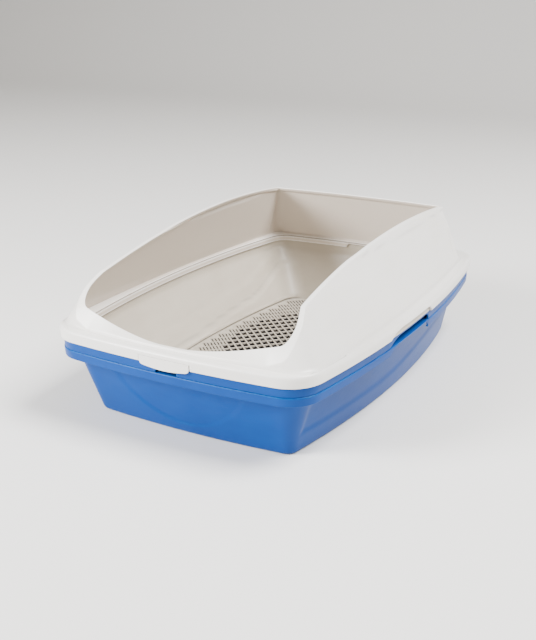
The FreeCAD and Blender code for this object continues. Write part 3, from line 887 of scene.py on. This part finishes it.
@dataclass(frozen=True)
class SiftingTray:
    """The bone tray that hangs in the pans: rim channel, sloping walls and a sieve floor."""

    body: str = "tray"
    rim_inset: float = 3.4
    wall: float = 1.6
    skirt_foot: float = 91.5
    top: float = 102.2
    knee: float = 86.0
    base: float = 18.0
    crease_depth: float = 3.6
    band_depth: float = 2.2
    band_height: float = 18.0
    rear_limit: float = 236.0
    sieve: SievePlate = SievePlate()

    def crease(self, y: float) -> float:
        """Height of the lower crease on a side wall, which sweeps up to the rear corner."""
        return 28.0 + 10.0 * smoothstep(-60.0, 120.0, y) + 34.0 * smoothstep(95.0, 235.0, y)

    def relief(self, point: Vector) -> Vector:
        """Move a point of the wall in below the swept creases."""
        moved = point.copy()
        aside = smoothstep(72.0, 98.0, abs(point.x))
        if aside > 0.0 and abs(point.y) < self.rear_limit:
            line = self.crease(point.y)
            low = smoothstep(3.0, -3.0, point.z - line)
            band = smoothstep(4.0, -4.0, point.z - line - self.band_height)
            fade = smoothstep(20.0, 25.0, point.z) * smoothstep(-190.0, -90.0, point.y)
            ahead = smoothstep(self.rear_limit, 215.0, point.y)
            push = (self.crease_depth * low + self.band_depth * band) * fade * ahead * aside
            moved.x -= math.copysign(push, point.x)
        return moved

    def keys(self) -> list[Key]:
        """The section of the tray, from under the sieve's edge round to its top."""
        under = self.top - self.wall
        inner = RIM.inset(self.rim_inset + self.wall, corner=35.0)
        outer = RIM.inset(self.rim_inset, corner=36.6)
        edge = TRAY_FLOOR.inset(5.0, corner=26.0)
        return [
            Key(edge.ring(self.base)),
            Key(TRAY_FLOOR.ring(self.base), radius=5.0, steps=26),
            Key(MOUTH.inset(18.4, corner=28.0).ring(self.knee), radius=3.0, steps=4),
            Key(MOUTH.inset(17.4, corner=28.0).ring(under), radius=0.8, steps=2),
            Key(inner.ring(under), radius=0.8, steps=2),
            Key(inner.ring(self.skirt_foot)),
            Key(outer.ring(self.skirt_foot), steps=2),
            Key(outer.ring(self.top), radius=1.4, steps=2),
            Key(MOUTH.inset(19.0, corner=28.0).ring(self.top), radius=1.2, steps=4),
            Key(MOUTH.inset(20.0, corner=27.0).ring(self.knee), radius=3.0, steps=26),
            Key(TRAY_FLOOR.inset(1.6, corner=28.4).ring(self.base + self.wall), radius=7.0),
            Key(edge.ring(self.base + self.wall)),
        ]

    def build(self, material: Material, sieve_material: Material) -> None:
        """Make the tray and its sieve."""
        shell = Shell(shaped_rings(self.keys(), self.relief))
        finish_piece(shell.join_ends(), "tray_shell", self.body, material,
                     ["sifting_tray"])
        self.sieve.build(self.body, sieve_material)


@dataclass(frozen=True)
class HoodEdge:
    """Side view of the hood's top edge: a low entry, a sweep up and a long, nearly flat crest."""

    entry_y: float = -250.0
    entry_z: float = 107.6
    shoulder_y: float = -204.0
    shoulder_z: float = 155.3
    sweep_y: float = -227.0
    sweep_z: float = 137.65
    crest_y: float = 60.3
    crest_z: float = 186.5
    crest_radius: float = 1174.0

    def sweep_hub(self) -> Triple:
        """Centre and radius of the arc through entry, sweep and shoulder."""
        ax, ay, bx, by = self.entry_y, self.entry_z, self.sweep_y, self.sweep_z
        cx, cy = self.shoulder_y, self.shoulder_z
        scale = 2.0 * (ax * (by - cy) + bx * (cy - ay) + cx * (ay - by))
        a2, b2, c2 = ax * ax + ay * ay, bx * bx + by * by, cx * cx + cy * cy
        y = (a2 * (by - cy) + b2 * (cy - ay) + c2 * (ay - by)) / scale
        z = (a2 * (cx - bx) + b2 * (ax - cx) + c2 * (bx - ax)) / scale
        return y, z, math.hypot(ax - y, ay - z)

    def height(self, y: float) -> float:
        """Height of the edge at a station along the box."""
        if y <= self.entry_y:
            return self.entry_z
        if y < self.shoulder_y:
            hub_y, hub_z, radius = self.sweep_hub()
            return hub_z + math.sqrt(max(radius ** 2 - (y - hub_y) ** 2, 0.0))
        drop = self.crest_radius - math.sqrt(self.crest_radius ** 2 - (y - self.crest_y) ** 2)
        return self.crest_z - drop


@dataclass(frozen=True)
class HoodFrame:
    """The pale frame: skirt, ledge, inner lip and the leaning wall with its rolled edge."""

    body: str = "hood"
    wall: float = 2.2
    skirt_foot: float = 91.5
    top: float = 104.7
    lip_inset: float = 20.4
    lip_wall: float = 1.6
    lip_foot: float = 96.6
    seam: float = 104.4
    knee: float = 107.4
    hood_wall: float = 2.6
    band: float = 5.0
    loft_top: float = 190.0
    draft: float = 0.9
    arch_rise: float = 8.2
    arch: FingerArch = FingerArch(front=-86.0, rear=32.0, front_sweep=30.0, rear_sweep=14.0)
    gate_from: float = 240.0
    gate_half: float = 31.4
    gate_top: float = 98.4
    shoulder: float = 98.6
    notch_half: float = 26.0
    notch_rise: float = 5.0
    panel_depth: float = 1.1
    panel_top: float = 178.0
    panel_end: float = 196.0
    panel_bend: float = 168.0
    panel_round: float = 0.048
    edge: HoodEdge = HoodEdge()

    def foot(self, x: float, y: float) -> float:
        """Height of the skirt's foot, raised over the hand slots and behind the tabs."""
        if abs(y) > self.gate_from and abs(x) < self.gate_half:
            return self.gate_top
        return self.skirt_foot + self.arch_rise * self.arch.rise(x, y)

    def skirt_shoulder(self, x: float, y: float) -> float:
        """Height at which the skirt starts to round over, always above its foot."""
        return max(self.shoulder, self.foot(x, y) + 0.2)

    def lip(self, x: float, y: float) -> float:
        """Height of the inner lip's foot, which is cut away in the middle of the rear."""
        if y < END_ZONE:
            return self.lip_foot
        share = smoothstep(self.notch_half + 1.0, self.notch_half - 1.0, abs(x))
        return self.lip_foot + self.notch_rise * share

    def wall_rings(self, inset: float, below: float) -> tuple[Ring, Ring]:
        """Foot and top of the leaning wall.

        Args:
            inset: How far inside the outer face.
            below: How far under the edge the top ring lies.

        Returns:
            The ring at the ledge and the ring that follows the hood's top edge.
        """
        foot = HOOD_FOOT.shrunk(inset).ring(self.top)
        head = HOOD_HEAD.shrunk(inset).ring(self.loft_top)
        edge = []
        for low, high in zip(foot, head):
            share = 0.5
            for _ in range(24):
                point = low.lerp(high, share)
                goal = max(self.edge.height(point.y) - below, self.top + 0.4)
                share = (goal - low.z) / (high.z - low.z)
            edge.append(low.lerp(high, share))
        return foot, edge

    def relief(self, point: Vector) -> Vector:
        """Draw the wall's side panels in a little, with a rounded end before the rear corner."""
        moved = point.copy()
        if point.z > self.top + 2.0 and abs(point.x) > SIDE_ZONE:
            end = self.panel_end - self.panel_round * max(point.z - self.panel_bend, 0.0) ** 2
            inside = min(end - point.y, (self.panel_top - point.z) * 1.2)
            share = smoothstep(-1.5, 2.5, inside) * smoothstep(-226.0, -190.0, point.y)
            fade = smoothstep(self.top + 2.0, self.top + 14.0, point.z)
            moved.x -= math.copysign(self.panel_depth * share * fade, point.x)
        return moved

    def keys(self) -> list[Key]:
        """The section of the frame, all the way round."""
        under = self.top - self.wall
        lip = MOUTH.inset(self.lip_inset, corner=23.0)
        bore = MOUTH.inset(self.lip_inset + self.lip_wall, corner=21.4)
        seam = MOUTH.inset(self.lip_inset + self.lip_wall - 0.7, corner=22.1)
        groove = MOUTH.inset(self.lip_inset + 0.5, corner=22.9)
        inner = RIM.inset(self.wall + self.draft, corner=37.0)
        foot, edge = self.wall_rings(0.0, 0.0)
        inner_foot, _ = self.wall_rings(self.hood_wall, 0.0)
        knee = [low.lerp(high, min(1.0, (self.knee - low.z) / max(high.z - low.z, 1.0)) * 0.9)
                for low, high in zip(inner_foot, self.wall_rings(self.hood_wall, 5.4)[1])]
        _, band = self.wall_rings(self.band, 0.0)
        _, under_band = self.wall_rings(self.band, 3.6)
        _, inner_edge = self.wall_rings(self.hood_wall, 6.0)
        return [
            Key(inner.ring(self.foot)),
            Key(RIM.inset(self.draft, corner=39.2).ring(self.foot), radius=0.6, steps=4),
            Key(RIM.inset(0.3, corner=39.7).ring(self.skirt_shoulder)),
            Key(RIM.ring(self.top), radius=5.0, steps=4, share=0.92),
            Key(foot, radius=4.0, steps=24),
            Key(edge, radius=1.5, steps=2),
            Key(band, radius=1.5),
            Key(under_band, radius=1.0),
            Key(inner_edge, radius=1.0, steps=20),
            Key(knee, radius=0.8, steps=2),
            Key(seam.ring(self.seam)),
            Key(groove.ring(self.seam - 0.5)),
            Key(groove.ring(self.seam - 1.5)),
            Key(bore.ring(self.seam - 1.9), steps=3),
            Key(bore.ring(self.lip)),
            Key(lip.ring(self.lip), steps=3),
            Key(lip.ring(under), radius=0.6, steps=2),
            Key(inner.ring(under), radius=0.8, steps=3),
            Key(inner.ring(self.foot)),
        ]

    def build(self, material: Material) -> None:
        """Make the frame and put it on its body."""
        shell = Shell(shaped_rings(self.keys(), self.relief))
        finish_piece(shell.join_ends(), "hood_shell", self.body, material,
                     ["hood_frame"])


@dataclass(frozen=True)
class SnapTab:
    """A springy tab with a bowed foot, set in the middle of an end of the frame."""

    end: End
    body: str
    left: float = -31.1
    right: float = 30.3
    top: float = 98.2
    foot: float = 88.9
    belly: float = 2.8
    thickness: float = 2.2
    corner: float = 4.5
    columns: int = 40
    rows: int = 10
    barb_half: float = 9.5
    barb_depth: float = 0.4

    def outer_face(self, x: float) -> float:
        """Distance of the tab's outer face in front of the middle, at a station across."""
        radius = arc_radius(RIM.half_width - RIM.side_bow, RIM.end_bow)
        return RIM.half_length - 0.35 - radius + math.sqrt(radius ** 2 - x * x)

    def build(self, material: Material) -> None:
        """Make the tab and put it on its body."""
        mesh = bmesh.new()
        bmesh.ops.create_grid(mesh, x_segments=self.columns, y_segments=self.rows, size=0.5)
        for vert in mesh.verts:
            across, down = vert.co.x + 0.5, 0.5 - vert.co.y
            x = self.left + (self.right - self.left) * across
            spare = max(0.0, min(x - self.left, self.right - x))
            nearness = 1.0 - min(1.0, spare / self.corner)
            lift = self.corner * (1.0 - math.sqrt(1.0 - nearness ** 2))
            foot = self.foot - self.belly * math.sin(math.pi * across) + lift * 0.8
            z = self.top + (foot - self.top) * down
            vert.co = Vector((x, -self.outer_face(x), z)) * MM
        face_towards(mesh, (0.0, -1.0, 0.0))
        bmesh.ops.solidify(mesh, geom=mesh.faces[:], thickness=self.thickness * MM)
        crown = (self.top - 0.1) * MM
        rims = [edge for edge in mesh.edges if edge.calc_face_angle(0.0) > math.radians(50.0)
                and min(vert.co.z for vert in edge.verts) < crown]
        bmesh.ops.bevel(mesh, geom=rims, offset=0.4 * MM, affect="EDGES", segments=2, profile=0.5,
                        material=-1)
        self.grow_barb(mesh)
        if self.end is End.REAR:
            bmesh.ops.scale(mesh, vec=(-1.0, -1.0, 1.0), verts=mesh.verts)
        side = self.end.name.lower()
        finish_piece(outwards(mesh), side + "_snap_tab", self.body, material,
                     [side + "_tab"])

    def grow_barb(self, mesh: Mesh) -> None:
        """Raise the catch along the foot of the tab's inner face."""
        limit = (self.foot + 1.8) * MM
        faces = []
        for face in mesh.faces:
            middle = face.calc_center_median()
            on_back = face.normal.y > 0.9
            if on_back and abs(middle.x) < self.barb_half * MM and middle.z < limit:
                faces.append(face)
        if faces:
            grown = bmesh.ops.extrude_face_region(mesh, geom=faces)
            verts = [item for item in grown["geom"] if isinstance(item, Vert)]
            bmesh.ops.translate(mesh, vec=(0.0, self.barb_depth * MM, 0.0), verts=verts)
            bmesh.ops.delete(mesh, geom=faces, context="FACES_ONLY")


# ---- studio ----

def aim(thing: bpy.types.Object, place: Triple, target: Vector) -> None:
    """Stand a lamp or a camera at a place and turn it to a point."""
    thing.location = place
    thing.rotation_euler = (target - thing.location).to_track_quat("-Z", "Y").to_euler()


@dataclass(frozen=True)
class Lamp:
    """A soft square light.

    Attributes:
        name: Its name.
        place: Where it stands, in metres.
        power: Its power in watts.
        size: Length of its side in metres.
        colour: Its colour.
    """

    name: str
    place: Triple
    power: float
    size: float
    colour: Triple = (1.0, 1.0, 1.0)

    def build(self, target: Vector) -> None:
        """Make the light and turn it to a point."""
        data = bpy.data.lights.new(self.name, type="AREA")
        data.energy = self.power
        data.size = self.size
        data.color = self.colour
        aim(add_object(self.name, data), self.place, target)


@dataclass(frozen=True)
class Studio:
    """Pale floor, soft lights and the camera."""

    camera_place: Triple = (0.5473, -1.0190, 0.4661)
    camera_target: Triple = (-0.0145, -0.0265, 0.0651)
    lens: float = 66.5
    sensor: float = 36.0
    floor_half: float = 7.0
    floor_cells: int = 70
    sweep_from: float = 2.4
    sweep_rise: float = 0.4
    floor_colour: Colour = (0.83, 0.82, 0.80, 1.0)
    floor_patches: Colour = (0.75, 0.74, 0.72, 1.0)
    sky: Colour = (1.0, 0.95, 0.88, 1.0)
    sky_strength: float = 0.45
    lamps: tuple[Lamp, ...] = (
        Lamp("key_light", (-1.5, -2.0, 1.3), 175.0, 1.0),
        Lamp("top_light", (1.3, 0.2, 2.2), 150.0, 1.2),
    )

    def build(self) -> None:
        """Make the whole studio."""
        self.build_floor()
        self.build_sky()
        middle = (Vector(CAD_BOX[0]) + Vector(CAD_BOX[1])) / 2
        for lamp in self.lamps:
            lamp.build(middle)
        data = bpy.data.cameras.new("camera")
        data.sensor_fit = "HORIZONTAL"
        data.sensor_width = self.sensor
        data.lens = self.lens
        camera = add_object("camera", data)
        aim(camera, self.camera_place, Vector(self.camera_target))
        bpy.context.scene.camera = camera

    def build_floor(self) -> None:
        """A plain pale floor just under the box, which sweeps up far behind it."""
        mesh = bmesh.new()
        bmesh.ops.create_grid(mesh, x_segments=self.floor_cells, y_segments=self.floor_cells,
                              size=self.floor_half)
        for vert in mesh.verts:
            vert.co.z = self.sweep_rise * max(0.0, vert.co.y - self.sweep_from) ** 2
        paint = Paint("floor_paper")
        tone = paint.noise(paint.place(), 2.0)
        shade = paint.mix(paint.ramp(tone, 0.3, 0.7) * 0.04, self.floor_colour,
                          self.floor_patches)
        paint.feed(paint.shader.inputs["Base Color"], shade)
        paint.shader.inputs["Roughness"].default_value = 0.9
        floor = add_object("floor", smooth_mesh(mesh, "floor", paint.material))

    def build_sky(self) -> None:
        """Even, soft light from all round."""
        world = bpy.data.worlds.new("studio_sky")
        world.use_nodes = True
        back = world.node_tree.nodes["Background"]
        back.inputs["Color"].default_value = self.sky
        back.inputs["Strength"].default_value = self.sky_strength
        bpy.context.scene.world = world


def main() -> None:
    """Build every sub-assembly in order."""
    logging.basicConfig(level=logging.INFO, format="%(name)s %(message)s")
    blue = PAN_BLUE.material()
    tray_bone = TRAY_BONE.material()
    frame_bone = FRAME_BONE.material()
    Pan("lower_pan", "base", lift=0.0, windows=False).build(blue)
    Pan("upper_pan", "upper", lift=10.2, windows=True).build(blue)
    SiftingTray().build(tray_bone, SIEVE_BONE.material())
    HoodFrame().build(frame_bone)
    SnapTab(End.FRONT, "front_clip").build(frame_bone)
    SnapTab(End.REAR, "rear_clip").build(frame_bone)
    Studio().build()


if __name__ == "__main__":
    main()
